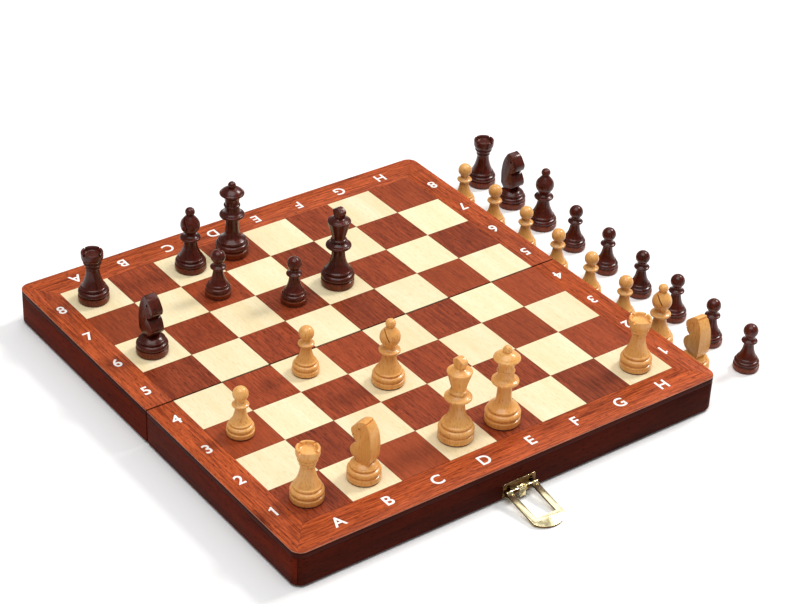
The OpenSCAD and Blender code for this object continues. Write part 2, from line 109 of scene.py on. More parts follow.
def apply_modifiers(piece, sharp=40):
    """Turns what the modifiers make into the piece's own mesh."""
    graph = bpy.context.evaluated_depsgraph_get()
    made = bpy.data.meshes.new_from_object(piece.evaluated_get(graph))
    piece.modifiers.clear()
    piece.data = made
    shade(piece, sharp)
    return piece


def rounded(piece, width, segments=2, sharp=40):
    """Rounds every edge of the piece that is bent by more than sharp degrees."""
    bevel = piece.modifiers.new("round", "BEVEL")
    bevel.width = width * MM
    bevel.segments = segments
    bevel.limit_method = "ANGLE"
    bevel.angle_limit = math.radians(sharp)
    return apply_modifiers(piece, sharp)


def cut(piece, tool):
    """Takes the tool's volume out of the piece."""
    boolean = piece.modifiers.new("cut", "BOOLEAN")
    boolean.operation = "DIFFERENCE"
    boolean.solver = "EXACT"
    boolean.object = tool
    apply_modifiers(piece)
    bpy.data.objects.remove(tool)
    return piece


def prism(outline, z0, z1):
    """Points and faces of an upright solid; faces are bottom, top and then the sides."""
    count = len(outline)
    points = [(x, y, z0) for x, y in outline] + [(x, y, z1) for x, y in outline]
    faces = [tuple(reversed(range(count))), tuple(range(count, 2 * count))]
    faces += [(n, (n + 1) % count, count + (n + 1) % count, count + n) for n in range(count)]
    return points, faces


def solids(parts):
    """Points and faces of several solids as one mesh."""
    points, faces = [], []
    for part_points, part_faces in parts:
        faces += [tuple(i + len(points) for i in face) for face in part_faces]
        points += part_points
    return points, faces


def moved(part, matrix):
    """Points and faces of a solid, moved by a matrix."""
    points, faces = part
    return [tuple(matrix @ Vector(p)) for p in points], faces


def block(low, high):
    """Points and faces of a box between two corners."""
    (x0, y0, z0), (x1, y1, z1) = low, high
    return prism([(x0, y0), (x1, y0), (x1, y1), (x0, y1)], z0, z1)


def arc(x, y, size, start, end, steps=6):
    """Points of an arc about x, y from one angle in degrees to another."""
    turns = [math.radians(start + (end - start) * n / steps) for n in range(steps + 1)]
    return [(x + size * math.cos(t), y + size * math.sin(t)) for t in turns]


def curve(points, steps=4):
    """A smooth line through the points, ends included."""
    ends = [points[0]] + list(points) + [points[-1]]
    line = [points[0]]
    for a, b, c, d in zip(ends, ends[1:], ends[2:], ends[3:]):
        for n in range(1, steps + 1):
            t = n / steps
            line.append(tuple(
                b[k] + 0.5 * t * (c[k] - a[k] + t * (2 * a[k] - 5 * b[k] + 4 * c[k] - d[k]
                + t * (3 * (b[k] - c[k]) + d[k] - a[k]))) for k in (0, 1)))
    return line


def turned(line, segments=72):
    """Body of revolution about Z of a line of (radius, height) from the axis back to the axis."""
    points, rings = [], []
    for r, z in line:
        if r < 1e-6:
            rings.append([len(points)])
            points.append((0, 0, z))
        else:
            rings.append([len(points) + n for n in range(segments)])
            points += [(r * math.cos(t), r * math.sin(t), z)
                       for t in (2 * math.pi * n / segments for n in range(segments))]
    faces = []
    for low, high in zip(rings, rings[1:]):
        for n in range(segments):
            m = (n + 1) % segments
            quad = (low[n % len(low)], low[m % len(low)], high[m % len(high)], high[n % len(high)])
            face = tuple(dict.fromkeys(quad))
            if len(face) > 2:
                faces.append(face)
    return points, faces


def put(piece, body, slot, *stands_for):
    """Lets the piece ride on a body in place of the CAD nodes named last; the slot argument is not used."""
    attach(piece, body)
    if stands_for:
        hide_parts(*stands_for)
    return piece


# ---- Materials ----


def rgb(red, green, blue):
    """Linear colour from 0 to 255 display values."""
    def linear(v):
        v /= 255
        return v / 12.92 if v <= 0.04045 else ((v + 0.055) / 1.055) ** 2.4
    return linear(red), linear(green), linear(blue), 1.0


class Shader:
    """A node material; its methods add nodes and return their outputs."""

    def __init__(self, name, **settings):
        self.material = bpy.data.materials.new(name)
        self.material.use_nodes = True
        self.tree = self.material.node_tree
        self.surface = self.tree.nodes["Principled BSDF"]
        for key, value in settings.items():
            self.surface.inputs[key.replace("_", " ")].default_value = value

    def node(self, kind, inputs, output=0, **settings):
        node = self.tree.nodes.new("ShaderNode" + kind)
        for key, value in settings.items():
            setattr(node, key, value)
        for key, value in inputs.items():
            if isinstance(value, bpy.types.NodeSocket):
                self.tree.links.new(value, node.inputs[key])
            else:
                node.inputs[key].default_value = value
        return node.outputs[output]

    def place(self):
        return self.node("TexCoord", {}, "Object")

    def math(self, operation, a, b=0.0, c=0.0):
        return self.node("Math", {0: a, 1: b, 2: c}, operation=operation)

    def vector(self, operation, a, b=(0, 0, 0)):
        return self.node("VectorMath", {0: a, 1: b}, operation=operation)

    def noise(self, place, per_metre, detail=2.0, roughness=0.5):
        """Noise with its own number of waves per metre along each axis."""
        stretched = self.vector("MULTIPLY", place, per_metre)
        return self.node("TexNoise", {"Vector": stretched, "Scale": 1.0, "Detail": detail,
                                      "Roughness": roughness})

    def span(self, value, low, high, to_low=0.0, to_high=1.0):
        """Value mapped from low..high to to_low..to_high, held at the ends."""
        return self.node("MapRange", {"Value": value, "From Min": low, "From Max": high,
                                      "To Min": to_low, "To Max": to_high})

    def mix(self, share, a, b, blend="MIX"):
        return self.node("Mix", {0: share, 6: a, 7: b}, 2, data_type="RGBA", blend_type=blend)

    def finish(self, colour=None, height=None, bump=0.3, distance=0.05, roughness=None):
        """Wires the colour, the relief (distance in millimetres) and the roughness."""
        if colour is not None:
            self.tree.links.new(colour, self.surface.inputs["Base Color"])
        if roughness is not None:
            self.tree.links.new(roughness, self.surface.inputs["Roughness"])
        if height is not None:
            normal = self.node("Bump", {"Height": height, "Strength": bump, "Distance": distance * MM})
            self.tree.links.new(normal, self.surface.inputs["Normal"])
        return self.material


ACROSS = {"x": (0, 1, 1), "y": (1, 0, 1), "z": (1, 1, 0)}


def grain_scale(axis, along, across):
    """Waves per metre along X, Y and Z for a grain that runs along one axis."""
    return tuple(across if k else along for k in ACROSS[axis])


def wood(name, axis, dark, light, pore, place=None, figure=0.5, coarse=1.0, gloss=0.3, coat=0.0,
         sheen=0.25, tint=None):
    """Lacquered wood whose fibres run along one axis.

    dark and light bound the tone, pore is the colour of the short open pores or None, figure is the share of
    the broad bands, and coarse scales the grain. sheen is the strength of its reflections, and tint
    changes the colour of each veneer piece.
    """
    s = Shader(name, Roughness=gloss, Coat_Weight=coat, Coat_Roughness=0.1, Specular_IOR_Level=sheen)
    here = place(s) if place else s.place()
    bands = s.noise(here, grain_scale(axis, 14 / coarse, 95 / coarse), 3.0, 0.55)
    fibres = s.noise(here, grain_scale(axis, 60 / coarse, 1100 / coarse), 4.0, 0.6)
    tone = s.math("ADD", s.math("MULTIPLY", s.span(bands, 0.3, 0.7), figure),
                  s.math("MULTIPLY", s.span(fibres, 0.32, 0.68), 1 - figure))
    colour = s.mix(tone, dark, light)
    relief = fibres
    if pore:
        dashes = s.noise(here, grain_scale(axis, 260 / coarse, 1900 / coarse), 2.0, 0.5)
        open_pore = s.span(dashes, 0.56, 0.68)
        colour = s.mix(s.math("MULTIPLY", open_pore, 0.8), colour, pore)
        relief = s.math("SUBTRACT", fibres, open_pore)
    if tint:
        colour = tint(s, colour)
    shine = s.span(bands, 0.2, 0.8, gloss - 0.06, gloss + 0.08)
    return s.finish(colour, relief, 0.25, 0.04, shine)


def cell(s):
    """Place counted in squares from the a1 corner, and the same in whole squares."""
    origin = (squares_low.x * MM, (MID_Y - FIELD) * MM, 0)
    scaled = s.vector("DIVIDE", s.vector("SUBTRACT", s.place(), origin), (SQUARE * MM, SQUARE * MM, 1e3))
    return scaled, s.vector("FLOOR", s.vector("ADD", scaled, (0, 0, 0.5)))


def square_place(s):
    """Each square is cut from its own spot in the veneer."""
    _, number = cell(s)
    spot = s.node("TexWhiteNoise", {"Vector": number}, "Color", noise_dimensions="3D")
    return s.vector("ADD", s.place(), spot)


def square_tint(s, colour, low, high, joint, warm=None):
    """Each square has its own shade, some are warmer, and a thin dark glue line runs along the joints."""
    scaled, number = cell(s)
    shade_of_it = s.node("TexWhiteNoise", {"Vector": s.vector("ADD", number, (7, 3, 1))}, "Value",
                         noise_dimensions="3D")
    level = s.span(shade_of_it, 0, 1, low, high)
    if warm:
        warmth = s.node("TexWhiteNoise", {"Vector": s.vector("ADD", number, (2, 9, 4))}, "Value",
                        noise_dimensions="3D")
        colour = s.mix(s.span(warmth, 0.4, 1.0, 0.0, 0.4), colour, warm)
    grey = s.node("CombineColor", {"Red": level, "Green": level, "Blue": level})
    tinted = s.mix(1.0, colour, grey, "MULTIPLY")
    split = s.node("SeparateXYZ", {"Vector": s.vector("FRACTION", scaled)}, "X").node
    edges = [s.math("MINIMUM", split.outputs[k], s.math("SUBTRACT", 1.0, split.outputs[k]))
             for k in ("X", "Y")]
    line = s.span(s.math("MINIMUM", *edges), 0.002, 0.007, joint, 0.0)
    return s.mix(line, tinted, rgb(60, 24, 14))


def border_wood(axis):
    return wood("mahogany_veneer_along_" + axis, axis, rgb(100, 34, 15), rgb(212, 100, 52), rgb(80, 26, 12),
                figure=0.25, gloss=0.42, sheen=0.12)


# Rail stain with painted shade: the colours given to it are darker than the stained wood and stand in for the
# shade on the board's sides.
def rail_wood_with_painted_shade(axis, dark, light, pore):
    return wood("stained_rail_painted_shade_along_" + axis, axis, dark, light, pore, figure=0.6, gloss=0.5, sheen=0.02)


border_along_x = border_wood("x")
border_along_y = border_wood("y")
dark_square = wood("mahogany_squares", "y", rgb(96, 34, 17), rgb(168, 76, 42), rgb(76, 25, 13),
                   place=square_place, figure=0.25, gloss=0.42, sheen=0.15,
                   tint=lambda s, c: square_tint(s, c, 0.86, 1.16, 0.6, rgb(164, 76, 38)))
light_square = wood("maple_squares", "y", rgb(236, 215, 167), rgb(247, 234, 199), rgb(229, 207, 158),
                    place=square_place, figure=0.6, gloss=0.42,
                    tint=lambda s, c: square_tint(s, c, 0.93, 1.02, 0.5))
# Painted shade: the rails along X take darker colours than those along Y, as for faces in deeper shade
# towards -Y.
rail_along_x_painted_shade = rail_wood_with_painted_shade("x", rgb(46, 14, 8), rgb(84, 28, 15), rgb(32, 9, 5))
rail_along_y_painted_shade = rail_wood_with_painted_shade("y", rgb(64, 19, 10), rgb(114, 38, 19), rgb(44, 12, 7))
# Painted highlight: the border's outer side faces take a lighter colour that stands in for the light caught
# on its rounded top edge.
border_edge_painted_highlight = wood("border_painted_highlight_edge", "x", rgb(150, 84, 62), rgb(206, 140, 112), None, figure=0.5,
                   gloss=0.4, sheen=0.2)
panel_edge = wood("stained_panel_edge", "x", rgb(44, 13, 8), rgb(76, 26, 15), None, figure=0.5,
                  gloss=0.5, sheen=0.04)
panel_inside = wood("panel_underside", "x", rgb(150, 96, 58), rgb(190, 136, 90), rgb(120, 74, 44),
                    figure=0.5, gloss=0.5)
boxwood = wood("boxwood", "z", rgb(224, 152, 74), rgb(245, 190, 112), rgb(208, 134, 60), figure=0.6,
               coarse=1.3, gloss=0.32, coat=0.2, sheen=0.4)
rosewood = wood("rosewood_stain", "z", rgb(46, 12, 6), rgb(100, 32, 14), rgb(28, 8, 4), figure=0.6,
                coarse=1.3, gloss=0.26, coat=0.15, sheen=0.28)
rosewood_disc = wood("rosewood_foot", "z", rgb(84, 30, 13), rgb(132, 58, 26), rgb(60, 20, 9), figure=0.55,
                     coarse=1.3, gloss=0.32, coat=0.1, sheen=0.2)


def brass_metal():
    s = Shader("polished_brass", Metallic=1.0, Roughness=0.22)
    here = s.place()
    haze = s.noise(here, (220, 220, 220), 3.0)
    brushed = s.noise(here, (180, 2600, 900), 2.0)
    colour = s.mix(s.span(haze, 0.3, 0.7), rgb(232, 216, 166), rgb(244, 233, 192))
    return s.finish(colour, brushed, 0.12, 0.01, s.span(haze, 0.25, 0.75, 0.16, 0.3))


def flocked():
    s = Shader("green_flock", Roughness=1.0, Sheen_Weight=0.6, Sheen_Roughness=0.4)
    s.surface.inputs["Sheen Tint"].default_value = rgb(120, 220, 170)
    here = s.place()
    pile = s.noise(here, (2400, 2400, 2400), 3.0, 0.7)
    patches = s.noise(here, (90, 90, 90), 2.0)
    colour = s.mix(s.span(pile, 0.3, 0.7), rgb(0, 84, 54), rgb(6, 138, 92))
    colour = s.mix(s.span(patches, 0.35, 0.7, 0.0, 0.3), colour, rgb(2, 100, 70))
    return s.finish(colour, pile, 0.6, 0.15)


def felt_cloth():
    s = Shader("base_felt", Roughness=1.0, Sheen_Weight=0.3)
    fuzz = s.noise(s.place(), (1800, 1800, 1800), 3.0, 0.7)
    colour = s.mix(s.span(fuzz, 0.3, 0.7), rgb(66, 36, 32), rgb(130, 84, 72))
    return s.finish(colour, fuzz, 0.5, 0.1)


def printed_white():
    s = Shader("white_print", Roughness=0.4)
    wear = s.noise(s.place(), (700, 700, 700), 3.0)
    return s.finish(s.mix(s.span(wear, 0.3, 0.7), rgb(240, 236, 228), rgb(255, 253, 250)), wear, 0.1, 0.01)


# Painted dark reflection and shade: a darker brass for faces that would mirror dark surroundings or lie in
# shade.
def brass_painted_dark_reflection():
    s = Shader("brass_painted_dark_reflection", Metallic=1.0, Roughness=0.35)
    haze = s.noise(s.place(), (400, 400, 400), 3.0)
    return s.finish(s.mix(s.span(haze, 0.3, 0.7), rgb(84, 58, 32), rgb(122, 92, 56)), haze, 0.1, 0.01)


brass = brass_metal()
brass_painted_dark = brass_painted_dark_reflection()
flock = flocked()
felt = felt_cloth()
white_print = printed_white()


# ---- Board ----


def half_side(half):
    """-1 for the front half, towards -Y, and 1 for the rear half."""
    return -1 if half == "front" else 1


def oriented(outline):
    """The outline with its points anticlockwise."""
    area = sum(a[0] * b[1] - b[0] * a[1] for a, b in zip(outline, outline[1:] + outline[:1]))
    return outline if area > 0 else list(reversed(outline))


def on_board(outline, side):
    """An outline drawn for the rear half about the board's middle, moved to its half."""
    return oriented([(MID_X + x, MID_Y + side * y) for x, y in outline])


def end_strip(inner_x, inner_y):
    """Strip along the far edge with rounded outer corners; inner_x, inner_y is its inner corner."""
    right = arc(HALF_W - CORNER_R, HALF_L - CORNER_R, CORNER_R, mitre_angle(inner_x, inner_y), 90)
    left = [(-x, y) for x, y in reversed(right)]
    return [(inner_x, inner_y)] + right + left + [(-inner_x, inner_y)]


def side_strip(hand, inner_x, inner_y):
    """Strip along one side from the seam to the mitre."""
    bend = arc(HALF_W - CORNER_R, HALF_L - CORNER_R, CORNER_R, 0, mitre_angle(inner_x, inner_y))
    outline = [(inner_x, MEET), (HALF_W, MEET)] + bend + [(inner_x, inner_y)]
    return [(hand * x, y) for x, y in outline]


def mitre_angle(inner_x, inner_y):
    """Where on the rounded corner, in degrees, the mitre from the inner to the outer corner comes out."""
    run, rise = HALF_W - inner_x, HALF_L - inner_y
    centre_x, centre_y = HALF_W - CORNER_R - inner_x, HALF_L - CORNER_R - inner_y
    length = math.hypot(run, rise)
    along = (centre_x * run + centre_y * rise) / length
    off = (centre_x * rise - centre_y * run) / length
    reach = along + math.sqrt(CORNER_R ** 2 - off ** 2)
    return math.degrees(math.atan2(reach * rise / length - centre_y, reach * run / length - centre_x))


def strips(name, outlines, z0, z1, materials, indices, width):
    """Several strips as one piece with edges rounded by width; indices say which material each has."""
    parts = [prism(outline, z0, z1) for outline in outlines]
    points, faces = solids(parts)
    owner = [index for part, index in zip(parts, indices) for _ in part[1]]
    return rounded(mesh_object(name, points, faces, materials, owner), width)


def make_half(half):
    """Border, rails and panel of one half; its hinge rail keeps its CAD shape."""
    side = half_side(half)
    body = half + "_half"
    veneer = [on_board(end_strip(FIELD, FIELD), side)]
    veneer += [on_board(side_strip(hand, FIELD, FIELD), side) for hand in (-1, 1)]
    border = strips(half + "_border_veneer", veneer, VENEER_Z, TOP_Z,
                    [border_along_x, border_along_y, border_edge_painted_highlight], [0, 1, 1], 0.15)
    # Faces at the outer rim get the painted highlight colour.
    for face in border.data.polygons:
        across, along = abs(face.center.x / MM - MID_X), abs(face.center.y / MM - MID_Y)
        if abs(face.normal.z) < 0.8 and (across > HALF_W - CORNER_R or along > HALF_L - CORNER_R):
            face.material_index = 2
    put(border, body, "mahogany_border", half + "_border")
    inner_x, inner_y = HALF_W - RAIL_W, HALF_L - RAIL_W
    # The rails carry the painted shade of their colours.
    rails = [("outer", end_strip(inner_x, inner_y), rail_along_x_painted_shade),
             ("left", side_strip(-1, inner_x, inner_y), rail_along_y_painted_shade),
             ("right", side_strip(1, inner_x, inner_y), rail_along_y_painted_shade)]
    for where, outline, material in rails:
        rail = strips(f"{half}_{where}_rail_stained", [on_board(outline, side)], RIM_Z, PANEL_Z, [material],
                      [0], 0.5)
        put(rail, body, "mahogany_rail", f"{half}_{where}_rail")
    outline = [(-HALF_W, MEET), (HALF_W, MEET)]
    outline += arc(HALF_W - CORNER_R, HALF_L - CORNER_R, CORNER_R, 0, 90, 8)
    outline += arc(-HALF_W + CORNER_R, HALF_L - CORNER_R, CORNER_R, 90, 180, 8)
    points, faces = prism(on_board(outline, side), PANEL_Z, VENEER_Z)
    panel = mesh_object(half + "_panel_stained", points, faces, [panel_edge, panel_inside],
                        [1] + [0] * (len(faces) - 1))
    put(rounded(panel, 0.15), body, "plywood", half + "_panel")
    hinge_rail = nodes[half + "_hinge_rail"]
    hinge_rail.data.materials.clear()
    hinge_rail.data.materials.append(rail_along_x_painted_shade)


def make_squares(half):
    """Inlaid squares of one half, the dark ones as one piece and the light ones as another."""
    side = half_side(half)
    for shade_name, parity, material, slot in (("dark", 1, dark_square, "mahogany_square"),
                                               ("light", 0, light_square, "maple_square")):
        if side > 0:
            parity = 1 - parity
        parts = []
        for file in range(8):
            for rank in range(4):
                if (file + rank) % 2 != parity:
                    continue
                x0, x1 = (file - 4) * SQUARE, (file - 3) * SQUARE
                y0, y1 = max(rank * SQUARE, MEET), (rank + 1) * SQUARE
                outline = [(x0, y0), (x1, y0), (x1, y1), (x0, y1)]
                parts.append(prism(on_board(outline, side), VENEER_Z, TOP_Z))
        points, faces = solids(parts)
        piece = mesh_object(f"{half}_{shade_name}_squares_inlaid", points, faces, [material])
        put(rounded(piece, 0.06, 1), half + "_half", slot, f"{half}_{shade_name}_squares")


# ---- Printed letters and numbers ----

# Height of a printed capital and thickness of the print
CAP = 7.2
INK = 0.05
# How far the outline of the font is pushed out, for a text size of 1
BOLD = 0.016
# Height of a capital of the font, made bolder, for a text size of 1
CAP_SHARE = 0.73
LETTER_Y = FIELD + 0.29 * SQUARE
NUMBER_X = FIELD + 0.24 * SQUARE


def number_one():
    """A plain 1 with a flag, as an outline; the font's own has a foot."""
    outline = [(0.10, 0), (0.27, 0), (0.27, 1), (0.14, 1), (0.07, 0.88), (-0.09, 0.8), (-0.09, 0.66),
               (0.10, 0.73)]
    points, faces = prism([(x * CAP, y * CAP) for x, y in outline], -INK / 2, INK / 2)
    mesh = bpy.data.meshes.new("one")
    mesh.from_pydata(points, [], faces)
    return mesh


def font_glyph(character):
    """Mesh of a character of the built-in font."""
    text = bpy.data.curves.new("print", "FONT")
    text.body = character
    text.size = CAP / CAP_SHARE
    text.align_x = "CENTER"
    text.offset = BOLD * text.size
    text.resolution_u = 6
    text.extrude = INK / 2
    holder = bpy.data.objects.new("print", text)
    bpy.context.scene.collection.objects.link(holder)
    graph = bpy.context.evaluated_depsgraph_get()
    mesh = bpy.data.meshes.new_from_object(holder.evaluated_get(graph))
    bpy.data.objects.remove(holder)
    return mesh


def glyph(character, x, y, upside_down, body):
    """One character printed on the border with its middle at x, y from the board's middle."""
    mesh = number_one() if character == "1" else font_glyph(character)
    xs = [v.co.x for v in mesh.vertices]
    ys = [v.co.y for v in mesh.vertices]
    turn = Matrix.Rotation(math.pi if upside_down else 0, 4, "Z")
    centre = Matrix.Translation((-(min(xs) + max(xs)) / 2, -(min(ys) + max(ys)) / 2, 0))
    place = Matrix.Translation((MID_X + x, MID_Y + y, TOP_Z + INK / 2))
    mesh.transform(Matrix.Scale(MM, 4) @ place @ turn @ centre)
    mesh.materials.clear()
    mesh.materials.append(white_print)
    where = ("far" if y > 0 else "near") if character.isalpha() else ("right" if x > 0 else "left")
    piece = bpy.data.objects.new(f"{where}_{character}", mesh)
    bpy.context.scene.collection.objects.link(piece)
    put(piece, body, None)


def make_print():
    """Letters along the near and far border, numbers along the left and right border."""
    for n, letter in enumerate("ABCDEFGH"):
        x = (n - 3.5) * SQUARE
        glyph(letter, x, -LETTER_Y, False, "front_half")
        glyph(letter, x, LETTER_Y, True, "rear_half")
    for n in range(8):
        y = (n - 3.5) * SQUARE
        body = "front_half" if n < 4 else "rear_half"
        glyph(str(n + 1), -NUMBER_X, y, False, body)
        glyph(str(n + 1), NUMBER_X, y, True, body)


# ---- Storage insert ----

# How far a pocket reaches past its recess in the record, and the radius of its corners
POCKET_SPARE = 0.15
POCKET_R = 1.6


def make_insert():
    """Flocked tray with a rounded pocket for each recess."""
    low, high = corners("storage_insert")
    points, faces = block(low, high)
    tray = rounded(mesh_object("storage_insert_flocked", points, faces, [flock]), 0.6)
    pockets = []
    for opening in frame["record"]["physics"]["openings"]:
        if "recess" not in opening["name"]:
            continue
        start, end = (Vector(corner) / MM for corner in opening["box_m"])
        x0, x1 = start.x - POCKET_SPARE, end.x + POCKET_SPARE
        y0, y1 = start.y - POCKET_SPARE, end.y + POCKET_SPARE
        outline = (arc(x1 - POCKET_R, y1 - POCKET_R, POCKET_R, 0, 90, 4)
                   + arc(x0 + POCKET_R, y1 - POCKET_R, POCKET_R, 90, 180, 4)
                   + arc(x0 + POCKET_R, y0 + POCKET_R, POCKET_R, 180, 270, 4)
                   + arc(x1 - POCKET_R, y0 + POCKET_R, POCKET_R, 270, 360, 4))
        pockets.append(pocket(outline, low.z, end.z + 0.2))
    points, faces = solids(pockets)
    tool = mesh_object("pockets", points, faces, [flock])
    cut(tray, tool)
    put(tray, "rear_half", "green_flock", "storage_insert")


def pocket(outline, mouth_z, floor_z):
    """A cutter: its mouth flares, its floor is rounded, and it opens downwards at mouth_z."""
    middle = Vector((sum(p[0] for p in outline), sum(p[1] for p in outline))) / len(outline)
    rings = [(mouth_z - 1, 0.55), (mouth_z - 0.01, 0.55), (mouth_z + 0.2, 0.25), (mouth_z + 0.7, 0.0),
             (floor_z - 1.2, 0.0), (floor_z - 0.35, -0.35), (floor_z, -1.2)]
    points = []
    for z, grow in rings:
        for x, y in outline:
            dx, dy = x - middle.x, y - middle.y
            points.append((x + math.copysign(grow, dx), y + math.copysign(grow, dy), z))
    count = len(outline)
    faces = [tuple(reversed(range(count))), tuple(range(len(points) - count, len(points)))]
    for ring in range(len(rings) - 1):
        base = ring * count
        faces += [(base + n, base + (n + 1) % count, base + count + (n + 1) % count, base + count + n)
                  for n in range(count)]
    return points, faces


# ---- Brass fittings ----

# Thickness of the clasp's and the catch's plate, and radius of the loop's two hubs
FITTING_T = 0.8
HUB_R = 1.6


def make_clasp():
    """Loop on its pin, and the plate with the curled lugs and the spring tongue."""
    pin_low, pin_high = corners("clasp_pin")
    mid_x, mid_y, mid_z = (pin_low + pin_high) / 2
    pin_r = (pin_high.z - pin_low.z) / 2
    loop_low, loop_high = corners("clasp_loop")
    half = (loop_high.x - loop_low.x) / 2
    thick, leg, window = 1.2, 3.7, 20.5
    length = math.hypot(mid_y - loop_low.y, mid_z - thick / 2)
    lean = math.asin((mid_z - thick / 2) / length)
    tip = half * 0.55
    tip_r = (half * half + tip * tip) / (2 * tip)
    half_angle = math.degrees(math.asin(half / tip_r))
    outer = [(half, 0), (-half, 0)] + arc(0, -length + tip_r, tip_r, 270 - half_angle, 270 + half_angle, 24)
    frame_points, frame_faces = prism(outer, -thick / 2, thick / 2)
    loop = mesh_object("clasp_loop_polished", frame_points, frame_faces, [brass])
    opening = block((-half + leg, -window, -3), (half - leg, 5, 3))
    cut(loop, mesh_object("opening", *opening, [brass]))
    hubs = []
    for hand in (-1, 1):
        bore_r = pin_r + 0.05
        hub = turned([(bore_r, 0), (HUB_R, 0), (HUB_R, leg), (bore_r, leg), (bore_r, 0)], 32)
        start = -half if hand < 0 else half - leg
        hubs.append(moved(hub, Matrix.Translation((start, 0, 0)) @ Matrix.Rotation(math.pi / 2, 4, "Y")))
    hub_piece = mesh_object("hubs", *solids(hubs), [brass])
    merge(loop, hub_piece)
    # The loop's side faces get the painted dark reflection.
    give_painted_dark_reflection(loop, lambda normal: abs(normal.z) < 0.5)
    loop.data.transform(Matrix.Scale(MM, 4) @ Matrix.Translation((mid_x, mid_y, mid_z))
                        @ Matrix.Rotation(lean, 4, "X") @ Matrix.Scale(1 / MM, 4))
    rounded(loop, 0.12)
    put(loop, "clasp_loop", "brass", "clasp_loop")

    plate_low, plate_high = corners("clasp_plate")
    wall_y = MID_Y - HALF_L
    half_plate = (plate_high.x - plate_low.x) / 2
    face = Matrix.Translation((mid_x, wall_y, 0)) @ Matrix.Rotation(math.pi / 2, 4, "X")
    low_z, high_z = RIM_Z + 1.2, plate_high.z
    outline = (arc(half_plate - 1, high_z - 1, 1, 0, 90, 4) + arc(-half_plate + 1, high_z - 1, 1, 90, 180, 4)
               + arc(-half_plate + 0.5, low_z + 0.5, 0.5, 180, 270, 3)
               + arc(half_plate - 0.5, low_z + 0.5, 0.5, 270, 360, 3))
    parts = [moved(prism(outline, 0, FITTING_T), face)]
    lug_w, lug_r = 3.6, 1.7
    for hand in (-1, 1):
        x = hand * (half - leg - 0.3 - lug_w / 2) - lug_w / 2
        side = Matrix.Translation((mid_x + x, mid_y, mid_z)) @ Matrix.Rotation(math.pi / 2, 4, "Z") \
            @ Matrix.Rotation(math.pi / 2, 4, "X")
        reach = wall_y - mid_y
        curl = arc(0, 0, lug_r, 90, 270, 12) + [(reach, -lug_r), (reach, lug_r)]
        parts.append(moved(prism(oriented(curl), 0, lug_w), side))
    parts.append(tongue(mid_x, wall_y - FITTING_T, mid_z + 0.6))
    plate = mesh_object("clasp_plate_polished", *solids(parts), [brass])
    # The plate's outward face gets the painted shade and dark reflection.
    give_painted_dark_reflection(plate, lambda normal: normal.y < -0.5)
    put(rounded(plate, 0.15), "front_half", "brass", "clasp_plate")


def give_painted_dark_reflection(piece, chosen):
    """Gives the faces with a chosen normal the brass with a painted dark reflection and shade."""
    piece.data.materials.append(brass_painted_dark)
    for face in piece.data.polygons:
        face.material_index = int(chosen(face.normal))


def tongue(x, y, z):
    """Spring tongue: a tapering strip that bends out and down through the loop's window."""
    width, end_width, thick = 4.8, 3.4, 0.5
    path = curve([(0.3, 0.5), (-0.6, 0.3), (-1.9, -0.9), (-2.9, -2.5), (-3.6, -4.2)], 4)
    points, faces = [], []
    for n, (out, up) in enumerate(path):
        share = n / (len(path) - 1)
        w = (width + (end_width - width) * max(0, share - 0.6) / 0.4) / 2
        for dx, dn in ((-w, 0), (w, 0), (w, -thick), (-w, -thick)):
            points.append((x + dx, y + out - dn * 0.7, z + up + dn * 0.7))
    for n in range(len(path) - 1):
        base = 4 * n
        faces += [(base + k, base + (k + 1) % 4, base + 4 + (k + 1) % 4, base + 4 + k) for k in range(4)]
    faces += [(3, 2, 1, 0), tuple(range(len(points) - 4, len(points)))]
    return points, faces


def make_catch():
    """Catch plate on the rear half with a box-shaped keeper that is open below."""
    low, high = corners("catch_plate")
    mid_x = (low.x + high.x) / 2
    half = (high.x - low.x) / 2
    wall_y = MID_Y + HALF_L
    tab_half, wall = 5.3, 0.8
    tab_low, tab_high = RIM_Z + 4.6, RIM_Z + 14.2
    face = Matrix.Translation((mid_x, wall_y, 0)) @ Matrix.Rotation(-math.pi / 2, 4, "X") \
        @ Matrix.Scale(-1, 4, (0, 1, 0))
    outline = (arc(half - 1, high.z - 1, 1, 0, 90, 4) + arc(-half + 1, high.z - 1, 1, 90, 180, 4)
               + arc(-half + 1, low.z + 1, 1, 180, 270, 4) + arc(half - 1, low.z + 1, 1, 270, 360, 4))
    points, faces = prism(outline, 0, FITTING_T)
    mirrored = moved((points, [tuple(reversed(f)) for f in faces]), face)
    plate = mesh_object("catch_plate_polished", *mirrored, [brass])
    left, right, root_y = mid_x - tab_half, mid_x + tab_half, wall_y + FITTING_T - 0.1
    shell = [block((left, root_y, tab_low), (left + wall, high.y, tab_high)),
             block((right - wall, root_y, tab_low), (right, high.y, tab_high)),
             block((left, high.y - wall, tab_low), (right, high.y, tab_high)),
             block((left, root_y, tab_high - wall), (right, high.y, tab_high))]
    keeper = mesh_object("keeper", *solids(shell), [brass])
    merge(plate, keeper)
    put(rounded(plate, 0.18), "rear_half", "brass", "catch_plate")


def merge(piece, other):
    """Moves the other object's mesh into the piece."""
    build = bmesh.new()
    build.from_mesh(piece.data)
    build.from_mesh(other.data)
    build.to_mesh(piece.data)
    build.free()
    bpy.data.objects.remove(other)


# ---- Men ----

# Thickness of the felt pads
FELT_T = 0.7
# How tall the foot of each kind is against the knight's
STRETCH = {"king": 1.1, "queen": 1.1, "rook": 1.03, "knight": 1.0, "bishop": 0.9, "pawn": 0.86}
# Height of the groove above the bottom disc, for a foot as tall as the knight's
GROOVE_Z = 4.0
# Height at which the king's finial starts
FINIAL_Z = 43.4


# Each line below is a list of (radius, height) from the foot upwards


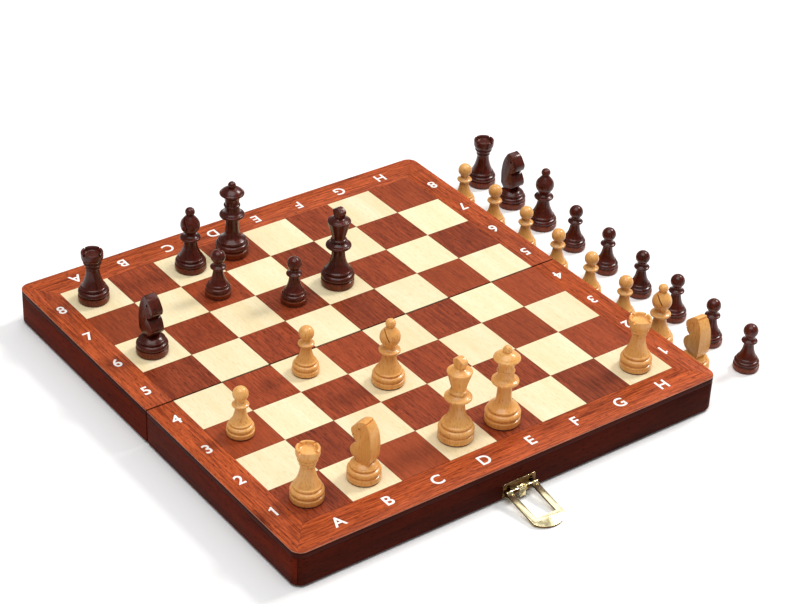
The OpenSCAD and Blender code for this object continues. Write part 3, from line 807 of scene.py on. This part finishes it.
def foot(r, kind):
    """Foot that all men share: a disc, a groove, a fat ring and a thin ring."""
    s = STRETCH[kind]
    return ([(0, FELT_T), (r - 0.9, FELT_T)] + arc(r - 0.45, FELT_T + 0.45, 0.45, -90, 0, 4)
            + [(r, 3.2 * s)] + arc(r - 0.35, 3.4 * s, 0.35, 0, 80, 4) + [(r - 0.8, GROOVE_Z * s)]
            + arc(r - 1.7, 5.8 * s, 1.6 * s, -52, 62, 12) + [(r - 1.75, 7.55 * s)]
            + arc(r - 2.2, 8.5 * s, 0.8 * s, -50, 72, 8))


def king_line(r):
    waist = [(7.0, 10.8), (6.2, 12.0), (5.2, 13.8), (4.5, 15.8), (4.0, 18.3), (3.8, 21.0), (4.0, 23.2)]
    cup = [(4.6, 28.7), (4.7, 29.2), (4.4, 29.7), (3.8, 30.1), (3.8, 30.7), (4.1, 32.0), (4.9, 35.0),
           (5.8, 38.0), (6.4, 40.0)]
    return (foot(r, "king") + curve(waist) + curve([(4.4, 23.6), (5.0, 23.9), (5.8, 24.4)], 2)
            + arc(6.4, 25.5, 0.9, -60, 75, 8) + curve([(5.6, 26.6), (4.7, 27.2), (4.0, 27.8), (4.0, 28.1)], 3)
            + curve(cup) + arc(6.0, 41.0, 0.65, -40, 80, 6)
            + curve([(5.6, 41.8), (4.6, 42.3), (3.0, 42.9), (2.6, FINIAL_Z)], 3) + [(0, FINIAL_Z)])


def queen_line(h, r):
    waist = [(7.0, 10.6), (5.6, 11.8), (4.6, 13.4), (4.1, 15.4), (3.9, 18.5), (3.85, 22.0), (4.0, 24.0)]
    crown = [(4.1, 33.0), (4.1, 34.2), (4.2, 35.6), (4.6, 37.2), (5.6, 38.4), (6.3, 39.1)]
    return (foot(r, "queen") + curve(waist) + curve([(4.4, 24.3), (4.9, 24.6), (5.7, 25.0)], 2)
            + arc(6.35, 25.9, 0.95, -60, 75, 8)
            + curve([(5.7, 27.1), (4.9, 27.8), (4.4, 28.8), (4.3, 30.4), (4.2, 31.4)], 3)
            + arc(4.2, 32.2, 0.6, -60, 60, 6) + curve(crown, 3) + arc(6.4, 39.9, 0.75, -50, 70, 6)
            + curve([(6.3, 41.0), (5.4, 41.9), (3.6, 43.0), (2.4, 43.4)], 3)
            + arc(0, h - 2.4, 2.4, -32, 90, 12))


def bishop_line(h, r):
    waist = [(6.6, 8.9), (5.8, 10.4), (4.9, 12.4), (4.2, 14.3), (3.7, 16.8), (3.6, 18.6)]
    return (foot(r, "bishop") + curve(waist) + curve([(3.8, 19.0), (4.2, 19.3), (4.9, 19.7)], 2)
            + arc(5.15, 20.5, 0.75, -50, 70, 6)
            + curve([(4.8, 21.4), (3.9, 21.9), (3.2, 22.6), (3.1, 23.1), (3.3, 23.8)], 3)
            + arc(0, 28.7, 5.6, -52, 45, 14) + curve([(3.5, 33.3), (3.0, 33.9), (2.3, 34.7), (2.05, 35.1)], 3)
            + arc(0.3, h - 2.5, 2.5, -48, 90, 12) + [(0, h)])


def rook_line(h, r):
    waist = [(6.4, 10.0), (5.7, 11.7), (4.9, 13.8), (4.2, 16.4), (3.8, 18.8), (3.7, 20.6)]
    return (foot(r, "rook") + curve(waist) + curve([(3.9, 21.0), (4.2, 21.4), (4.2, 22.0), (4.0, 22.4)], 2)
            + curve([(4.2, 22.9), (4.6, 23.4), (5.1, 24.2), (5.25, 24.8), (5.0, 25.3)], 3)
            + curve([(5.2, 25.8), (5.5, 26.2), (6.0, 27.2), (6.2, 28.4), (6.2, h - 0.5)], 3)
            + [(6.05, h - 0.15), (5.8, h), (5.1, h), (4.85, h - 0.2), (4.6, h - 0.8)]
            + curve([(4.3, h - 1.8), (3.6, h - 2.1), (1.2, h - 2.1)], 3) + [(0, h - 1.9)])


def pawn_line(h, r):
    waist = [(5.0, 8.6), (4.2, 10.2), (3.5, 12.2), (3.0, 14.6), (2.75, 16.6)]
    return (foot(r, "pawn") + curve(waist) + curve([(2.8, 17.1), (3.0, 17.5), (3.5, 17.8)], 2)
            + arc(3.9, 18.4, 0.62, -50, 70, 6)
            + curve([(3.6, 19.2), (2.9, 19.8), (2.5, 20.4), (2.45, 21.0)], 3)
            + arc(0, h - 4.15, 4.15, -53, 90, 18))


def knight_line(r):
    return foot(r, "knight") + curve([(6.8, 9.5), (6.2, 10.0), (5.2, 10.7), (4.4, 11.0)], 3) + [(0, 11.0)]


def smooth_body(part, name):
    return mesh_object(name, *part, [boxwood], sharp=32)


def king_shape(h, r):
    piece = smooth_body(turned(king_line(r)), "king")
    top = h - FINIAL_Z
    side = oriented([(-2.4, -0.6), (2.4, -0.6), (2.5, 0.6), (3.5, 3.2), (3.4, 4.6), (1.0, top), (-1.0, top),
                     (-3.4, 4.6), (-3.5, 3.2), (-2.5, 0.6)])
    finial = moved(prism(side, -2.2, 2.2), Matrix.Translation((0, 0, FINIAL_Z))
                   @ Matrix.Rotation(math.radians(7), 4, "Z") @ Matrix.Rotation(math.pi / 2, 4, "X"))
    merge(piece, rounded(mesh_object("finial", *finial, [boxwood]), 0.5, 3, 15))
    return piece


def queen_shape(h, r):
    return smooth_body(turned(queen_line(h, r)), "queen")


def bishop_shape(h, r):
    piece = smooth_body(turned(bishop_line(h, r)), "bishop")
    slot = moved(block((0.5, -0.3, 0), (9, 0.3, 9)), Matrix.Translation((0, 0, 28.4))
                 @ Matrix.Rotation(math.radians(142), 4, "Z") @ Matrix.Rotation(math.radians(30), 4, "X"))
    return cut(piece, mesh_object("slot", *slot, [boxwood]))


def rook_shape(h, r):
    """Tower with a bowl-shaped top and four notches in its rim."""
    piece = smooth_body(turned(rook_line(h, r)), "rook")
    for turn in (14, 104):
        notch = moved(block((-9, -0.65, h - 1.2), (9, 0.65, h + 1)),
                      Matrix.Rotation(math.radians(turn), 4, "Z"))
        cut(piece, mesh_object("notch", *notch, [boxwood]))
    return piece


def pawn_shape(h, r):
    return smooth_body(turned(pawn_line(h, r)), "pawn")


def head_side(h):
    """Side view of the horse's head, as (forward, height)."""
    back = [(-5.7, 10.6), (-6.1, 16.0), (-6.4, 21.5), (-5.9, 28.0), (-4.5, 31.9), (-2.8, 34.9)]
    ears = [(-1.9, h), (-1.2, h)]
    nose = [(0.2, h - 0.4), (1.6, 34.9), (3.0, 33.8), (6.0, 30.6), (6.4, 28.5), (5.6, 26.2)]
    throat = [(4.0, 24.6), (2.6, 23.9), (1.9, 23.6), (2.4, 23.1), (3.8, 22.2), (5.6, 20.0), (6.3, 17.8),
              (6.0, 16.0), (5.0, 14.6), (2.8, 13.2), (2.6, 10.6)]
    return curve(back, 3) + ears + curve(nose, 3) + curve(throat, 3)


def held(share):
    """The share, held between 0 and 1."""
    return max(0.0, min(1.0, share))


def knight_shape(h, r):
    """A flat-sided horse's head with rounded edges, an ear notch, a mouth and an eye."""
    piece = smooth_body(turned(knight_line(r)), "knight")
    points, faces = prism(oriented(head_side(h)), -4.3, 4.3)
    tapered = []
    for x, z, y in points:
        share = 1 - 0.23 * held((z - 22) / (h - 22)) - 0.1 * held((x - 3) / 3)
        draw_in = 1 - 0.22 * held((14 - z) / 3.4)
        tapered.append((x * draw_in, -y * share * draw_in, z))
    head = mesh_object("head", tapered, faces, [boxwood])
    rounded(head, 0.9, 3, 50)
    for hand in (-1, 1):
        eye = turned([(0, -0.9), (0.8, -0.9), (0.8, 0.9), (0, 0.9)], 20)
        at = Matrix.Translation((1.2, hand * 3.75, 31.0)) @ Matrix.Rotation(math.pi / 2, 4, "X")
        cut(head, mesh_object("eye", *moved(eye, at), [boxwood]))
        mouth = moved(block((0, -0.25, -0.9), (3.4, 0.25, 0.9)), Matrix.Translation((4.2, hand * 3.5, 27.2))
                      @ Matrix.Rotation(math.radians(20), 4, "Y") @ Matrix.Rotation(math.pi / 2, 4, "X"))
        cut(head, mesh_object("mouth", *mouth, [boxwood]))
    notch = moved(block((-0.35, -6, 0), (0.35, 6, 3)), Matrix.Translation((-2.5, 0, 34.4)))
    cut(head, mesh_object("notch", *notch, [boxwood]))
    merge(piece, head)
    return piece


# What makes each kind, and the men that don't look straight ahead, in degrees from +X
SHAPES = {"king": king_shape, "queen": queen_shape, "bishop": bishop_shape, "knight": knight_shape,
          "rook": rook_shape, "pawn": pawn_shape}
LOOKS_AT = {"light_knight_1": 109, "dark_bishop_1": 80}


def make_men():
    """A turned man and a felt pad for each of the 32 nodes; each kind is shaped once and then copied."""
    made = {}
    for name in sorted(nodes):
        colour, _, rest = name.partition("_")
        kind = rest.split("_")[0]
        if colour not in ("light", "dark") or kind not in SHAPES:
            continue
        low, high = corners(name)
        radius = (high.x - low.x) / 2
        if kind not in made:
            made[kind] = SHAPES[kind](high.z - low.z, radius)
        turn = LOOKS_AT.get(name, 90 if colour == "light" else -90)
        place = Matrix.Translation(Vector(((low.x + high.x) / 2, (low.y + high.y) / 2, low.z)) * MM)
        piece = bpy.data.objects.new(name + "_turned", made[kind].data.copy())
        bpy.context.scene.collection.objects.link(piece)
        piece.data.transform(place @ Matrix.Rotation(math.radians(turn), 4, "Z"))
        woods = [boxwood, boxwood] if colour == "light" else [rosewood, rosewood_disc]
        piece.data.materials.clear()
        for wood_of_part in woods:
            piece.data.materials.append(wood_of_part)
        groove_z = (low.z + GROOVE_Z * STRETCH[kind]) * MM
        for polygon in piece.data.polygons:
            polygon.material_index = int(polygon.center.z < groove_z)
        put(piece, name, "boxwood" if colour == "light" else "rosewood", name)
        edge = radius - 0.55
        rim = arc(edge, 0.2, 0.12, -60, 60, 3)
        disc = turned([(0, 0), (edge, 0)] + rim + [(edge, FELT_T), (0, FELT_T)], 48)
        pad = mesh_object(name + "_felt", *moved(disc, Matrix.Translation(place.translation / MM)), [felt])
        put(pad, name, None)
    for piece in made.values():
        bpy.data.objects.remove(piece)


# ---- Everything ----

for half_name in ("front", "rear"):
    make_half(half_name)
    make_squares(half_name)
make_print()
make_insert()
make_clasp()
make_catch()
make_men()
for kept in ("front_hinge_leaves", "rear_hinge_leaves", "hinge_pins", "front_hinge_screws",
             "rear_hinge_screws", "clasp_pin", "clasp_screws", "catch_screws"):
    nodes[kept].data.materials.clear()
    nodes[kept].data.materials.append(brass)


# ---- Floor, light and camera ----


def plain_floor():
    s = Shader("floor", Roughness=0.7)
    grain = s.noise(s.place(), (3, 3, 3), 2.0)
    return s.finish(s.mix(s.span(grain, 0.3, 0.7), rgb(250, 250, 250), rgb(253, 253, 253)))


floor_half, floor_z = 6000, -0.02
floor_corners = [(x * floor_half, y * floor_half, floor_z) for x, y in ((-1, -1), (1, -1), (1, 1), (-1, 1))]
floor = mesh_object("floor", floor_corners, [(0, 1, 2, 3)], [plain_floor()])


def softbox(name, azimuth, elevation, distance, size, power, tone=(1, 1, 1)):
    """Square lamp that faces the board's middle; azimuth 0 is towards +X."""
    lamp = bpy.data.lights.new(name, "AREA")
    lamp.shape = "SQUARE"
    lamp.size = size
    lamp.energy = power
    lamp.color = tone
    turn, rise = math.radians(azimuth), math.radians(elevation)
    away = Vector((math.cos(turn) * math.cos(rise), math.sin(turn) * math.cos(rise), math.sin(rise)))
    holder = bpy.data.objects.new(name, lamp)
    bpy.context.scene.collection.objects.link(holder)
    holder.location = Vector((MID_X, MID_Y, TOP_Z)) * MM + away * distance
    holder.rotation_euler = away.to_track_quat("Z", "Y").to_euler()


softbox("key", azimuth=0, elevation=45, distance=3.0, size=0.7, power=50, tone=(1.0, 0.97, 0.93))
softbox("overhead", azimuth=215, elevation=78, distance=3.0, size=2.4, power=66)
softbox("back", azimuth=41, elevation=50, distance=3.0, size=1.3, power=9)

world = bpy.data.worlds.new("studio")
world.use_nodes = True
background = world.node_tree.nodes["Background"]
background.inputs["Color"].default_value = (1, 1, 1, 1)
background.inputs["Strength"].default_value = 0.25
bpy.context.scene.world = world
bpy.context.scene.view_settings.view_transform = "Standard"

# The camera stands south-west of the board; its place is counted in squares from the middle of the board
VIEW_PLACE = (-19.96, -26.98, 22.72)
VIEW_AZIMUTH, VIEW_ELEVATION, VIEW_ROLL = -37.65, 33.33, 2.74
LENS = 100.1


def view_matrix():
    turn, rise, roll = (math.radians(a) for a in (VIEW_AZIMUTH, VIEW_ELEVATION, VIEW_ROLL))
    ahead = Vector((-math.sin(turn) * math.cos(rise), math.cos(turn) * math.cos(rise), -math.sin(rise)))
    right = ahead.cross(Vector((0, 0, 1))).normalized()
    up = right.cross(ahead)
    across = right * math.cos(roll) + up * math.sin(roll)
    over = up * math.cos(roll) - right * math.sin(roll)
    place = (Vector((MID_X, MID_Y, TOP_Z)) + Vector(VIEW_PLACE) * SQUARE) * MM
    return Matrix.Translation(place) @ Matrix((across, over, -ahead)).transposed().to_4x4()


camera_data = bpy.data.cameras.new("camera")
camera_data.lens = LENS
camera_data.sensor_width = 36
camera_data.clip_start = 0.02
camera = bpy.data.objects.new("camera", camera_data)
bpy.context.scene.collection.objects.link(camera)
camera.matrix_world = view_matrix()
bpy.context.scene.camera = camera
